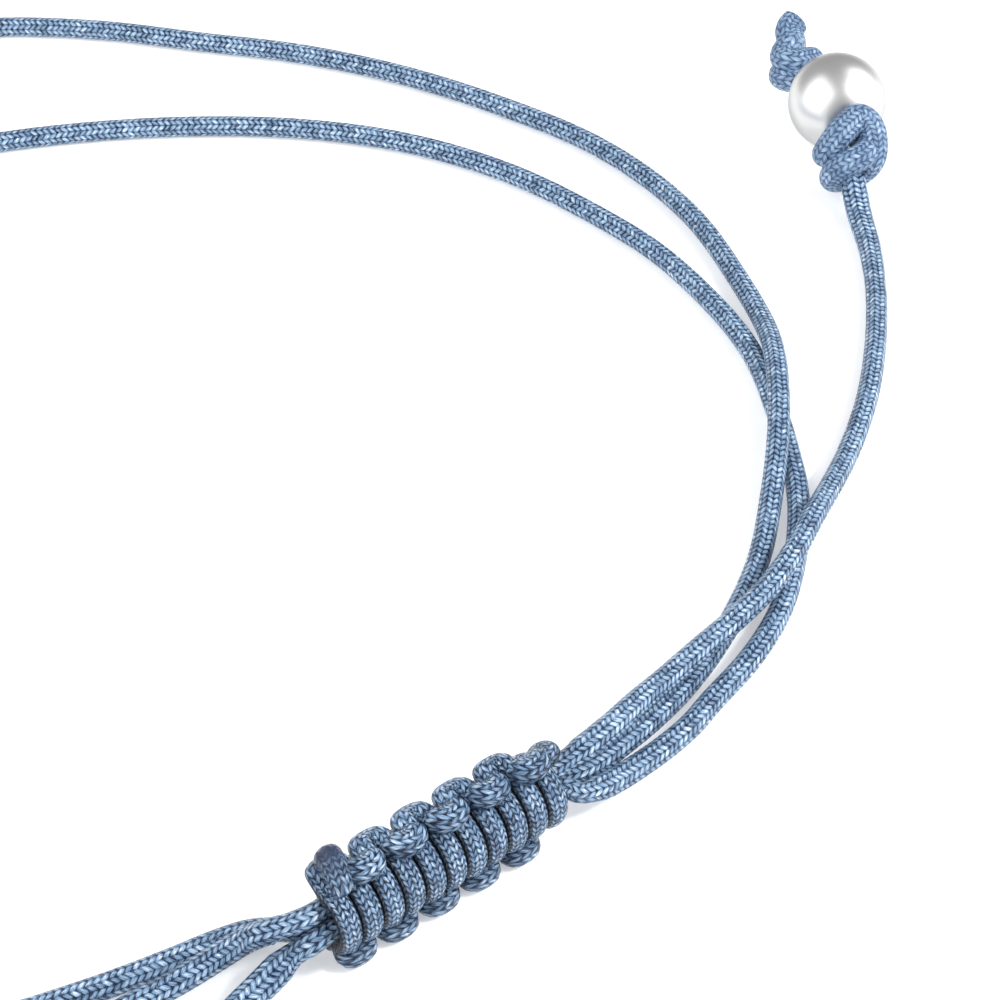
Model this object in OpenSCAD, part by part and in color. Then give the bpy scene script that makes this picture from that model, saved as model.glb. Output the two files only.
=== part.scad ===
// Cord bracelet with a sliding knot, laid flat on a table.
// One braided cord goes round twice and passes three times through the knot. Each of its two free
// ends carries a drilled ball between two stopper knots. The table is z = 0 and the loop's centre
// is the origin.

/* [Band cord] */
// Diameter of the braided cord
cord_d = 1; // [0.8:0.05:1.1]
// Diameter of the cord where the sliding knot squeezes it
squeezed_d = 0.84; // [0.7:0.02:0.84]

/* [Sliding knot] */
// Number of half knots
half_knots = 11; // [7:2:11]
// Distance from one half knot to the next
half_pitch = 0.97; // [0.94:0.005:1]
// Thickness of the tying cord where it is pulled flat
wrap_thick = 0.62; // [0.5:0.02:0.7]
// Width of the tying cord where it is pulled flat
wrap_wide = 0.95; // [0.8:0.01:1]
// Direction of the knot's axis, turned from +X
knot_turn = 39; // [20:0.5:45]
// Tilt of the knot's front face above the horizontal
knot_roll = 10; // [0:1:30]
// Height of the knot's axis above the table
knot_height = 2.15; // [2.15:0.01:2.4]

/* [Balls and stopper knots] */
// Diameter of each ball
ball_d = 4.8; // [4.4:0.1:5.2]
// Diameter of the hole through a ball
ball_bore_d = 1.2; // [1.15:0.05:1.6]
// Radius of the cord's coil round itself in the inner stopper knot
inner_coil_r = 1.25; // [1:0.05:1.3]
// Radius of the cord's coil round itself in the outer stopper knot
outer_coil_r = 0.95; // [0.8:0.05:1.1]
// Length of a stopper knot along the cord
stop_long = 2.8; // [2.8:0.1:3.2]

/* [Hidden] */

cord_blue = [0.50, 0.60, 0.73];
tying_blue = [0.42, 0.53, 0.68];
polished_metal = [0.85, 0.85, 0.86];

cord_sides = 8;
ring_step = 4.5;
bore_facets = 48;
ball_facets = 96;

// The sliding knot's own axes: along it, out of its front face, and up its side with the bars
knot_centre = [20.1, -23.4, knot_height];
knot_along = [cos(knot_turn), sin(knot_turn), 0];
level_out = [sin(knot_turn), -cos(knot_turn), 0];
knot_front = cos(knot_roll) * level_out + [0, 0, sin(knot_roll)];
knot_side = -sin(knot_roll) * level_out + [0, 0, cos(knot_roll)];

// Three squeezed cords touch round the knot's axis, one of them towards the bars
core_gap = 0.01;
core_offset = (squeezed_d + core_gap) / sqrt(3);
core_reach = core_offset + squeezed_d / 2;
core_half = 4.9;
core_top = 90;
core_front = -30;
core_back = 210;

// The tying cord lies on the core, and rises over its own passes at the knot's two sides, where it
// leans towards the next pass, by so many half steps. Behind the right end, where it starts, it
// only goes round this far to each side. The last back pass ends a little nearer to the others
lie_gap = 0.04;
lie_r = core_reach + lie_gap + wrap_thick / 2;
rise = 0.6;
rise_from = 82;
pass_sweep = 110;
start_sweep = 94;
pass_rings = 10;
start_sway = -0.5;
last_back_in = 0.35;

// The melted end folds back and stands up beside the last half knot. Each row is how far it is
// along the knot from that half knot, how far from the axis, at what angle, and its radius
stub_route = [
    [0.25, 1.45, 78, 0.35], [0.25, 1.8, 65, 0.44], [0.33, 2.08, 77, 0.46], [0.43, 2.32, 91, 0.52],
    [0.45, 2.62, 103, 0.5]
];

// Where the cords leave the knot, they stay this close to its axis
mouth_half = 5.9;
mouth_offset = 0.525;
join_gap = 0.05;

// A stopper knot is a coil of one and a half turns round its own doubled cord
stop_turns = 1.5;
stop_rings = 18;
coil_tip_r = 0.3;
stop_core_share = 0.6;

// Routes of the cords, each point [x, y, z] of its centre line. The two turns run from the knot's
// right end round the loop to its left end, and the free ends run from the knot outward.
turn_a_route = [
    [25.4, -18.9, 1.6], [26.3, -18.1, 1.4], [27.3, -16.95, 1.2], [28.5, -15.4, 0.9], [29.7, -13.6, 0.6],
    [30.9, -11.6, 0.5], [32, -9.4, 0.5], [33.4, -5.6, 0.5], [34.1, -2.2, 0.8],
    [34.6, 1.2, 1.4], [34.8, 4.2, 1.6], [34.8, 7.4, 1.3], [34.5, 10.2, 0.7],
    [33.7, 13.2, 0.5], [31.6, 18.5, 0.5], [27.4, 24, 0.5], [22.5, 27.6, 0.5],
    [17.4, 30.4, 0.5], [12.2, 32.3, 0.5], [7, 33.4, 0.5], [1.7, 34.5, 0.5],
    [-3.3, 34.8, 0.5], [-11, 33.4, 0.5], [-18.4, 30, 0.5], [-25, 24.7, 0.5],
    [-30.6, 17.4, 0.5], [-34.1, 9, 0.5], [-35.3, 0, 0.5], [-34.3, -9, 0.5],
    [-31, -17.4, 0.5], [-25.6, -24.6, 0.5], [-18.6, -30.2, 0.5], [-10.8, -33.9, 0.5],
    [-3.5, -34.8, 0.5], [3, -32.8, 0.5], [9.1, -29.6, 0.7], [10.9, -28.5, 0.9],
    [12.1, -27.6, 1], [13.2, -27.15, 1.5], [14.3, -27.3, 2.35]
];
turn_b_route = [
    [25.5, -20.05, 1.7], [26.3, -19.5, 1.35], [27.1, -18.7, 1.05], [27.9, -17.9, 0.9], [28.9, -16.8, 0.7], [30, -15.5, 0.6],
    [30.9, -14.1, 0.5], [32.6, -11.7, 0.5], [33.9, -9.2, 0.5], [34.9, -5.6, 0.5],
    [35.3, -1.6, 0.5], [35.1, 1.2, 0.5], [34.8, 3.6, 0.5], [33.9, 8, 0.5],
    [31.7, 12.7, 0.5], [29.6, 15.8, 0.5], [27.3, 18.2, 0.5], [22.5, 22.1, 0.5],
    [17.5, 24.5, 0.5], [12.5, 25.6, 0.5], [7.6, 25.8, 0.5], [2.6, 25.4, 0.5],
    [-2, 24.5, 0.5], [-9, 21.9, 0.5], [-15.5, 17.6, 0.5], [-20.5, 12, 0.5],
    [-24, 5, 0.5], [-25.5, -3, 0.5], [-24.3, -11, 0.5], [-20.6, -18.4, 0.5],
    [-15, -24.6, 0.5], [-8.5, -28.8, 0.5], [-2, -30.7, 0.5], [3.3, -30.3, 0.5],
    [7.3, -28.8, 0.5], [10.6, -27.2, 0.5], [12.1, -26.4, 0.5], [13.3, -26, 0.6], [14.3, -26.2, 0.95]
];
right_end_route = [
    [25.5, -18.8, 2.65], [26.7, -17.4, 2.5], [27.9, -15.6, 2.1], [29.2, -13.8, 1.7], [30.5, -12.2, 1.6],
    [32.2, -10.2, 1.5], [33.7, -8.2, 1.5], [34.8, -6.2, 1.5], [35.7, -4.1, 1.4],
    [36.6, -1.8, 0.9], [37.6, 0.8, 0.5], [38.8, 4.5, 0.5], [39.6, 8.6, 0.5],
    [40, 12.8, 0.5], [40, 15.8, 0.5], [39.7, 18.5, 0.7], [39.5, 20, 1.4]
];
left_end_route = [
    [14.85, -27.75, 1.25], [13.9, -28.6, 0.8], [12.4, -30.2, 0.5], [9.5, -32.6, 0.5],
    [6, -35, 0.5], [2, -37, 0.5], [-2.5, -38.6, 0.5], [-7.3, -39.5, 0.5],
    [-12.2, -39.6, 0.5], [-17, -39, 0.5], [-19.7, -38.4, 0.7], [-21.2, -38.1, 1.4]
];

// The balls rest on the table. Each is drilled along its bore, and the middles of its stopper
// knots lie before and after it. The cut tails start at the outer ones.
right_ball_at = [39.1, 25.2, ball_d / 2];
right_bore = [-0.34, 0.93, -0.14];
right_inner_at = [39.5, 21.3, 2.3];
right_outer_at = [37.5, 28.4, 2.1];
right_tail = [[37.2, 29.8, 2.7], [37.1, 30.5, 3.1], [37.6, 31, 3.5]];
left_ball_at = [-26.4, -36.6, ball_d / 2];
left_bore = [-0.92, 0.38, -0.06];
left_inner_at = [-22.7, -37.9, 2.3];
left_outer_at = [-29.6, -35, 2.1];
left_tail = [[-31, -34.3, 2.7], [-31.8, -34.4, 3.2], [-32.6, -34.9, 3.6]];

// Vector and curve helpers
function unit(v) = v / norm(v);
function blend(a, b, t) = a + (b - a) * t;
function ease(t) = t * t * (3 - 2 * t);

// Direction of the route at point i, from the chords on either side, each weighted by the other
function heading(p, i) =
    i == 0 ? unit(p[1] - p[0]) :
    i == len(p) - 1 ? unit(p[i] - p[i - 1]) :
    let (before = p[i] - p[i - 1], after = p[i + 1] - p[i])
    unit(before / norm(before) * norm(after) + after / norm(after) * norm(before));

// Point at share t of the span after point i, on a cubic with the route's directions at its ends
function on_span(p, i, t) =
    let (d = norm(p[i + 1] - p[i]))
    (1 - ease(t)) * p[i] + ease(t) * p[i + 1]
    + d * t * (1 - t) * (1 - t) * heading(p, i)
    - d * t * t * (1 - t) * heading(p, i + 1);

// The route as ring centres about one step apart
function ring_centres(p, step) = [
    for (i = [0 : len(p) - 2])
        let (n = max(1, round(norm(p[i + 1] - p[i]) / step)))
        for (k = [0 : n - 1]) on_span(p, i, k / n),
    p[len(p) - 1]
];

// A normal at right angles to each direction, as near to the wanted one as it can be
function across(wanted, along) = unit(wanted - (wanted * along) * along);
function upright(p) = [for (i = [0 : len(p) - 1]) across([0, 0, 1], heading(p, i))];

// Closed tube through ring centres p, with normals, and half thickness and half width per ring
module tube(p, normals, half_thick, half_wide) {
    n = len(p);
    points = [
        for (i = [0 : n - 1])
            let (beside = cross(normals[i], heading(p, i)))
            for (k = [0 : cord_sides - 1])
                let (a = 360 * (k + 0.5) / cord_sides)
                p[i] + half_thick[i] * cos(a) * normals[i] + half_wide[i] * sin(a) * beside
    ];
    walls = [
        for (i = [0 : n - 2], k = [0 : cord_sides - 1])
            let (m = (k + 1) % cord_sides, low = i * cord_sides, high = low + cord_sides)
            [low + k, low + m, high + m, high + k]
    ];
    near_cap = [for (k = [cord_sides - 1 : -1 : 0]) k];
    far_cap = [for (k = [0 : cord_sides - 1]) (n - 1) * cord_sides + k];
    polyhedron(points, concat(walls, [near_cap, far_cap]), convexity = 10);
}

// A round cord whose radius changes smoothly between the ones given for each ring
module round_cord(p, radii) {
    tube(p, upright(p), radii, radii);
}

// Places in the sliding knot: u along it, r from its axis, and an angle from its front to its bars
function in_knot(u, r, angle) =
    knot_centre + u * knot_along + r * cos(angle) * knot_front + r * sin(angle) * knot_side;
function core_pass(angle, way) = [
    in_knot(-way * core_half, core_offset, angle),
    in_knot(0, core_offset, angle),
    in_knot(way * core_half, core_offset, angle)
];

// Radii of a band cord: thin in the squeezed rings at each end, full between them
function band_radii(n, thin_start, thin_end) = [
    for (i = [0 : n - 1]) (i < thin_start || i >= n - thin_end ? squeezed_d : cord_d) / 2
];

// Half knot j is at this place along the knot, counted from its right end
function half_knot_at(j) = ((half_knots - 1) / 2 - j) * half_pitch;

// One pass of the tying cord over the front (side = 1) or the back (side = -1) of the core, from
// the bars' side down (way = 1) or up (way = -1). It lies on the core and rises at both ends, where
// it leans half a step along the knot to meet the next pass. The middle of the tying cord, before
// the first half knot, goes round behind with no rise, and the last passes end where they lie.
function pass_point(j, side, way, t) =
    let (
        swing = 2 * t - 1,
        starting = j < 0 || (j == 0 && swing < 0),
        last = j == half_knots - 1,
        reach = (starting ? start_sweep : pass_sweep) * sin(90 * swing),
        over = starting ? 0 : max(0, abs(reach) - rise_from) / (pass_sweep - rise_from),
        sway = j < 0 ? 2 - start_sway : starting ? -start_sway : last && swing > 0 ? 0 : sign(swing),
        inward = last && side < 0 ? last_back_in : 0,
        lean = blend(-inward, sway * half_pitch / 2, last && swing > 0 ? 0 : pow(abs(swing), 5)),
        angle = (side > 0 ? 0 : 180) - side * way * reach
    )
    in_knot(half_knot_at(j) - lean, lie_r + rise * ease(over), angle);

function pass_centres(j, side, way) = [
    for (k = [0 : pass_rings]) pass_point(j, side, way, k / pass_rings)
];
function away_normals(p) = [
    for (i = [0 : len(p) - 1])
        let (
            from_axis = p[i] - knot_centre,
            away = from_axis - (from_axis * knot_along) * knot_along
        )
        across(away, heading(p, i))
];
module tying_pass(j, side, way) {
    p = pass_centres(j, side, way);
    half_thick = [for (q = p) wrap_thick / 2];
    half_wide = [for (q = p) wrap_wide / 2];
    tube(p, away_normals(p), half_thick, half_wide);
}

// The melted end of the tying cord. Its normals lie along the knot, across which it turns
module melted_end() {
    last_at = half_knot_at(half_knots - 1);
    p = [for (row = stub_route) in_knot(last_at + row[0], row[1], row[2])];
    normals = [for (i = [0 : len(p) - 1]) across(knot_along, heading(p, i))];
    radii = [for (row = stub_route) row[3]];
    tube(p, normals, radii, radii);
}

// The coil of a stopper knot round its axis, from one end of the knot to the other
function coil_point(at, along, out, r, t) =
    let (
        beside = cross(along, out),
        reach = r * ease(min(1, 4 * min(t, 1 - t))),
        angle = 360 * stop_turns * t
    )
    at + (t - 0.5) * (stop_long - cord_d) * along
    + reach * (cos(angle) * out + sin(angle) * beside);

module coil(at, along, coil_r) {
    out = across([0, 0, 1], along);
    p = [for (k = [0 : stop_rings]) coil_point(at, along, out, coil_r, k / stop_rings)];
    radii = [
        for (k = [0 : stop_rings])
            let (t = k / stop_rings, full = ease(min(1, 5 * min(t, 1 - t))))
            blend(coil_tip_r, cord_d / 2, full)
    ];
    normals = [for (i = [0 : len(p) - 1]) across(along, heading(p, i))];
    tube(p, normals, radii, radii);
}

module inner_stop(at, ball_at) {
    along = unit(ball_at - at);
    half_long = (stop_long - cord_d) / 2;
    core = [at - along * half_long, at + along * half_long];
    core_r = inner_coil_r * stop_core_share;
    color(cord_blue) {
        coil(at, along, inner_coil_r);
        tube(core, upright(core), [core_r, core_r], [core_r, core_r]);
    }
}

// The outer stopper knot, with the cord that runs through the ball to it and the cut tail
module outer_stop(at, ball_at, bore, tail_points) {
    start = ball_at - unit(bore) * ball_d / 2;
    finish = ball_at + unit(bore) * ball_d / 2;
    thread = concat([start, ball_at, finish, at], tail_points);
    color(cord_blue) {
        coil(at, unit(at - ball_at), outer_coil_r);
        round_cord(thread, [for (q = thread) cord_d / 2]);
    }
}

module drilled_ball(at, bore) {
    d = unit(bore);
    color(polished_metal) translate(at) rotate([0, acos(d[2]), atan2(d[1], d[0])])
        difference() {
            sphere(d = ball_d, $fn = ball_facets);
            cylinder(d = ball_bore_d, h = 2 * ball_d, center = true, $fn = bore_facets);
        }
}

module free_end(way, angle, route) {
    p = ring_centres(concat([
        in_knot(way * (core_half + join_gap), core_offset, angle),
        in_knot(way * mouth_half, mouth_offset, angle)], route), ring_step);
    color(cord_blue) round_cord(p, band_radii(len(p), 2, 0));
}

// The first turn starts in the knot's lower back place and ends in its place at the bars
module band_turn_a() {
    p = ring_centres(concat(
        core_pass(core_back, 1), [in_knot(mouth_half, mouth_offset, core_back)],
        turn_a_route,
        [in_knot(-mouth_half, mouth_offset, core_top)], core_pass(core_top, 1)), ring_step);
    color(cord_blue) round_cord(p, band_radii(len(p), 4, 4));
}

// The second turn starts in the knot's lower front place and ends face to face with the first
module band_turn_b() {
    p = ring_centres(concat(
        core_pass(core_front, 1), [in_knot(mouth_half, mouth_offset, core_front)],
        turn_b_route,
        [in_knot(-mouth_half, mouth_offset, core_back),
        in_knot(-core_half - join_gap, core_offset, core_back)]), ring_step);
    color(cord_blue) round_cord(p, band_radii(len(p), 4, 2));
}

module slider_knot() {
    color(tying_blue) {
        for (j = [0 : half_knots - 1]) {
            tying_pass(j, 1, j % 2 == 0 ? 1 : -1);
            tying_pass(j, -1, j % 2 == 0 ? -1 : 1);
        }
        tying_pass(-1, -1, 1);
        melted_end();
    }
}

module free_end_right() {
    free_end(1, core_top, right_end_route);
}

module free_end_left() {
    free_end(-1, core_front, left_end_route);
}

module inner_stop_right() {
    inner_stop(right_inner_at, right_ball_at);
}

module inner_stop_left() {
    inner_stop(left_inner_at, left_ball_at);
}

module bead_right() {
    drilled_ball(right_ball_at, right_bore);
}

module bead_left() {
    drilled_ball(left_ball_at, left_bore);
}

module outer_stop_right() {
    outer_stop(right_outer_at, right_ball_at, right_bore, right_tail);
}

module outer_stop_left() {
    outer_stop(left_outer_at, left_ball_at, left_bore, left_tail);
}

band_turn_a();
band_turn_b();
slider_knot();
free_end_right();
inner_stop_right();
bead_right();
outer_stop_right();
free_end_left();
inner_stop_left();
bead_left();
outer_stop_left();
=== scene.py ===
# %% [markdown]
# # A braided cord bracelet
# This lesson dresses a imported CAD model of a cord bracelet. The real thing is a single braided cord,
# 1 mm thick, that goes round the wrist twice and through a sliding knot. A drilled metal ball hangs
# between two small knots on each of its free ends. We start by loading the CAD model as a frame.

# %% Load the frame
import bpy
import numpy as np
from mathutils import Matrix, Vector


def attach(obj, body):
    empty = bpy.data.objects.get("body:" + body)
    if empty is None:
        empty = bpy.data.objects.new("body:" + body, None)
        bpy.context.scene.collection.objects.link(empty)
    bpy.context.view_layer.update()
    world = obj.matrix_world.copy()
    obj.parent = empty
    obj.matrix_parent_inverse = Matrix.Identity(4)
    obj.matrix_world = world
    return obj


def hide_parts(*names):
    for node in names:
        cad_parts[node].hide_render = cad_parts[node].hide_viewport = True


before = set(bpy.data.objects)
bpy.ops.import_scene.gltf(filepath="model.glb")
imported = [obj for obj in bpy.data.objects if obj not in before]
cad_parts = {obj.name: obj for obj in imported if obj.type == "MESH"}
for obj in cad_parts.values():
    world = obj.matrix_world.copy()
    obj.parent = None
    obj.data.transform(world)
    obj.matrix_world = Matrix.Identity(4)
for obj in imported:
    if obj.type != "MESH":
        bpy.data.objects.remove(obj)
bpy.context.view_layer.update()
MM = 0.001
print("CAD nodes:", sorted(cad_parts))

# %% [markdown]
# ## Camera
# The picture looks down on the table at 42 degrees, from close by, so the near end of the knot is
# drawn a third larger than the ball. A long lens at 128 mm from its aim gives that same falloff.

# %% Place the camera
AIM = Vector((22.5, -1.5, 0.0)) * MM
EYE = Vector((22.5, -96.5, 85.5)) * MM
LENS_MM = 106.7

camera_data = bpy.data.cameras.new("table_camera")
camera_data.lens = LENS_MM
camera_data.sensor_width = 36.0
camera_data.clip_start = 0.005
camera_data.clip_end = 10.0
camera = bpy.data.objects.new("table_camera", camera_data)
bpy.context.scene.collection.objects.link(camera)
camera.location = EYE
camera.rotation_euler = (AIM - EYE).to_track_quat("-Z", "Y").to_euler()
bpy.context.scene.camera = camera
print("camera distance in mm:", round((AIM - EYE).length / MM, 1))

# %% [markdown]
# ## Where the cords lie
# A cord is settled before it is drawn: where it leaves the knot, how long it is and what it passes
# over. Each table below is a route, one row for each point of the cord's middle line, in
# millimetres. They are the same points as in the part's own source, so the drawn cords lie exactly
# where the solid ones are.

# %% Sizes of the cord and the sliding knot
CORD_D = 1.0
SQUEEZED_D = 0.84
HALF_KNOTS = 11
HALF_PITCH = 0.97
WRAP_THICK = 0.62
KNOT_TURN = np.radians(39)
KNOT_ROLL = np.radians(10.0)
KNOT_CENTRE = np.array([20.1, -23.4, 2.15])
KNOT_ALONG = np.array([np.cos(KNOT_TURN), np.sin(KNOT_TURN), 0.0])
LEVEL_OUT = np.array([np.sin(KNOT_TURN), -np.cos(KNOT_TURN), 0.0])
UP = np.array([0.0, 0.0, 1.0])
KNOT_FRONT = np.cos(KNOT_ROLL) * LEVEL_OUT + np.sin(KNOT_ROLL) * UP
KNOT_SIDE = -np.sin(KNOT_ROLL) * LEVEL_OUT + np.cos(KNOT_ROLL) * UP

# Inside the knot three cords lie in a triangle, each at its own angle. They run straight for
# CORE_HALF either way and leave at the mouths, a little further out.
CORE_GAP = 0.01
CORE_OFFSET = (SQUEEZED_D + CORE_GAP) / np.sqrt(3)
CORE_HALF, MOUTH_HALF, MOUTH_OFFSET, JOIN_GAP = 4.9, 5.9, 0.525, 0.05
CORE_TOP, CORE_FRONT, CORE_BACK = 90, -30, 210
print("sliding knot:", HALF_KNOTS, "half knots in", round(HALF_KNOTS * HALF_PITCH, 1), "mm")


def in_knot(along, radius, degrees):
    """Points of the sliding knot: so far along its axis, so far out, at an angle from its front
    face (0) towards its side with the bars (90)."""
    along, radius, angle = np.broadcast_arrays(along, radius, np.radians(degrees))
    out = np.cos(angle)[..., None] * KNOT_FRONT + np.sin(angle)[..., None] * KNOT_SIDE
    return KNOT_CENTRE + along[..., None] * KNOT_ALONG + radius[..., None] * out


def core_pass(degrees):
    """Three points of a cord straight through the sliding knot."""
    return in_knot(np.array([-1, 0, 1]) * CORE_HALF, CORE_OFFSET, degrees)


# %% Routes of the four stretches of cord
TURN_A = [
    (25.4, -18.9, 1.6), (26.3, -18.1, 1.4), (27.3, -16.95, 1.2), (28.5, -15.4, 0.9),
    (29.7, -13.6, 0.6),
    (30.9, -11.6, 0.5), (32, -9.4, 0.5), (33.4, -5.6, 0.5), (34.1, -2.2, 0.8),
    (34.6, 1.2, 1.4), (34.8, 4.2, 1.6), (34.8, 7.4, 1.3), (34.5, 10.2, 0.7),
    (33.7, 13.2, 0.5), (31.6, 18.5, 0.5), (27.4, 24, 0.5), (22.5, 27.6, 0.5),
    (17.4, 30.4, 0.5), (12.2, 32.3, 0.5), (7, 33.4, 0.5), (1.7, 34.5, 0.5),
    (-3.3, 34.8, 0.5), (-11, 33.4, 0.5), (-18.4, 30, 0.5), (-25, 24.7, 0.5),
    (-30.6, 17.4, 0.5), (-34.1, 9, 0.5), (-35.3, 0, 0.5), (-34.3, -9, 0.5),
    (-31, -17.4, 0.5), (-25.6, -24.6, 0.5), (-18.6, -30.2, 0.5), (-10.8, -33.9, 0.5),
    (-3.5, -34.8, 0.5), (3, -32.8, 0.5), (9.1, -29.6, 0.7), (10.9, -28.5, 0.9),
    (12.1, -27.6, 1), (13.2, -27.15, 1.5), (14.3, -27.3, 2.35),
]
TURN_B = [
    (25.5, -20.05, 1.7), (26.3, -19.5, 1.35), (27.1, -18.7, 1.05), (27.9, -17.9, 0.9),
    (28.9, -16.8, 0.7), (30, -15.5, 0.6),
    (30.9, -14.1, 0.5), (32.6, -11.7, 0.5), (33.9, -9.2, 0.5), (34.9, -5.6, 0.5),
    (35.3, -1.6, 0.5), (35.1, 1.2, 0.5), (34.8, 3.6, 0.5), (33.9, 8, 0.5),
    (31.7, 12.7, 0.5), (29.6, 15.8, 0.5), (27.3, 18.2, 0.5), (22.5, 22.1, 0.5),
    (17.5, 24.5, 0.5), (12.5, 25.6, 0.5), (7.6, 25.8, 0.5), (2.6, 25.4, 0.5),
    (-2, 24.5, 0.5), (-9, 21.9, 0.5), (-15.5, 17.6, 0.5), (-20.5, 12, 0.5),
    (-24, 5, 0.5), (-25.5, -3, 0.5), (-24.3, -11, 0.5), (-20.6, -18.4, 0.5),
    (-15, -24.6, 0.5), (-8.5, -28.8, 0.5), (-2, -30.7, 0.5), (3.3, -30.3, 0.5),
    (7.3, -28.8, 0.5), (10.6, -27.2, 0.5), (12.1, -26.4, 0.5), (13.3, -26, 0.6),
    (14.3, -26.2, 0.95),
]
RIGHT_END = [
    (25.5, -18.8, 2.65), (26.7, -17.4, 2.5), (27.9, -15.6, 2.1), (29.2, -13.8, 1.7),
    (30.5, -12.2, 1.6),
    (32.2, -10.2, 1.5), (33.7, -8.2, 1.5), (34.8, -6.2, 1.5), (35.7, -4.1, 1.4),
    (36.6, -1.8, 0.9), (37.6, 0.8, 0.5), (38.8, 4.5, 0.5), (39.6, 8.6, 0.5),
    (40, 12.8, 0.5), (40, 15.8, 0.5), (39.7, 18.5, 0.7), (39.5, 20, 1.4),
]
LEFT_END = [
    (14.85, -27.75, 1.25), (13.9, -28.6, 0.8), (12.4, -30.2, 0.5), (9.5, -32.6, 0.5),
    (6, -35, 0.5), (2, -37, 0.5), (-2.5, -38.6, 0.5), (-7.3, -39.5, 0.5),
    (-12.2, -39.6, 0.5), (-17, -39, 0.5), (-19.7, -38.4, 0.7), (-21.2, -38.1, 1.4),
]

ROUTES = {
    "band_turn_a": np.vstack([
        core_pass(CORE_BACK), in_knot(MOUTH_HALF, MOUTH_OFFSET, CORE_BACK), TURN_A,
        in_knot(-MOUTH_HALF, MOUTH_OFFSET, CORE_TOP), core_pass(CORE_TOP)]),
    "band_turn_b": np.vstack([
        core_pass(CORE_FRONT), in_knot(MOUTH_HALF, MOUTH_OFFSET, CORE_FRONT), TURN_B,
        in_knot(-MOUTH_HALF, MOUTH_OFFSET, CORE_BACK),
        in_knot(-CORE_HALF - JOIN_GAP, CORE_OFFSET, CORE_BACK)]),
    "free_end_right": np.vstack([
        in_knot(CORE_HALF + JOIN_GAP, CORE_OFFSET, CORE_TOP),
        in_knot(MOUTH_HALF, MOUTH_OFFSET, CORE_TOP), RIGHT_END]),
    "free_end_left": np.vstack([
        in_knot(-CORE_HALF - JOIN_GAP, CORE_OFFSET, CORE_FRONT),
        in_knot(-MOUTH_HALF, MOUTH_OFFSET, CORE_FRONT), LEFT_END]),
}
print("points in each route:", {name: len(route) for name, route in ROUTES.items()})

# %% [markdown]
# ## A smooth line through the points
# Between two points the line is a cubic whose ends have the route's own directions. A Bezier curve
# object draws the same kind of line, but its rings bunch up where its handles are short. Ours is
# sampled finely and then measured again, so that its rings lie the same distance apart along the
# cord. An even spacing matters here: the braid's pattern is counted along this length.


# %% Smooth lines
SPAN_SAMPLES = 24


def unit(v):
    """Each row scaled to length one."""
    return v / np.linalg.norm(v, axis=-1, keepdims=True)


def headings(points):
    """Direction at each point: the two chords beside it, each weighted by the other's length."""
    chords = np.diff(points, axis=0)
    size = np.linalg.norm(chords, axis=1, keepdims=True)
    middle = chords[:-1] / size[:-1] * size[1:] + chords[1:] / size[1:] * size[:-1]
    return unit(np.vstack([chords[:1], middle, chords[-1:]]))


def smooth_line(points, step):
    """Points about one step apart on the cubic spans between the given ones, for each span
    (1-e) a + e b + d t (1-t)^2 ha - d t^2 (1-t) hb, where e = t^2 (3-2t) and d is its chord."""
    points = np.asarray(points, float)
    turn = headings(points)
    share = np.linspace(0, 1, SPAN_SAMPLES, endpoint=False)[None, :, None]
    a, b = points[:-1, None], points[1:, None]
    ha, hb = turn[:-1, None], turn[1:, None]
    d = np.linalg.norm(b - a, axis=2, keepdims=True)
    ease = share**2 * (3 - 2 * share)
    line = (1 - ease) * a + ease * b + d * share * (1 - share)**2 * ha - d * share**2 * (1 - share) * hb
    line = np.vstack([line.reshape(-1, 3), points[-1:]])
    gone = np.concatenate([[0], np.cumsum(np.linalg.norm(np.diff(line, axis=0), axis=1))])
    even = np.linspace(0, gone[-1], max(2, int(round(gone[-1] / step)) + 1))
    return np.stack([np.interp(even, gone, line[:, k]) for k in range(3)], axis=1)


def line_length(line):
    """Sum of the steps along a line."""
    return float(np.linalg.norm(np.diff(line, axis=0), axis=1).sum())


RING_STEP = 0.09
LINES = {name: smooth_line(route, RING_STEP) for name, route in ROUTES.items()}
for name, line in LINES.items():
    print(name, "is", round(line_length(line), 1), "mm long")

# %% [markdown]
# ## The braid
# The cord is a tube braid of 24 fine yarns, twelve winding to the right and twelve to the left. Each
# goes over two and under two, which gives columns of slanting stitches down the cord. One could draw
# 24 thin tubes, but the outside is all that shows, so we work out the height of the outermost yarn at
# every place of the cord's surface instead. That gives one closed skin, whose outline has the small
# scallops of the real braid.

# %% Height of the braid
# Each yarn rises and sinks by WAVE, and its wave turns by WAVE_STEP from one crossing to the next.
# The tying cord and the stopper knots have stitches that are finer by a third.
YARNS_EACH_WAY = 12
BRAID_PITCH = 0.3
YARN_HALF = 0.52
WAVE = 0.45
WAVE_STEP = float(np.pi / 2)
FINER_STITCHES = 4 / 3


def yarn_dome(off):
    """Half an ellipse across a yarn: 1 in its middle, 0 at its edge."""
    return np.sqrt(np.clip(1 - (off / YARN_HALF)**2, 0, None))


def braid_height(along, around):
    """Height of the outermost yarn. along counts braid pitches and around goes from 0 to 12 round
    the cord. Lines of equal around - along are yarns of one hand, and of equal around + along the
    others. Each yarn rises and sinks as a cosine of its place on the other hand's yarns, so that it
    passes over two and under the next two."""
    x, y = around - along, around + along
    right, left = np.round(x), np.round(y)
    over = yarn_dome(x - right) + WAVE * np.cos(WAVE_STEP * (y + right))
    under = yarn_dome(y - left) - WAVE * np.cos(WAVE_STEP * (x + left))
    return np.maximum(over, under) - 1


one_pitch = braid_height(np.linspace(0, 1, 50)[:, None], np.linspace(0, YARNS_EACH_WAY, 99))
print("braid height runs from", round(float(one_pitch.min()), 2), "to", WAVE)

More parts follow.
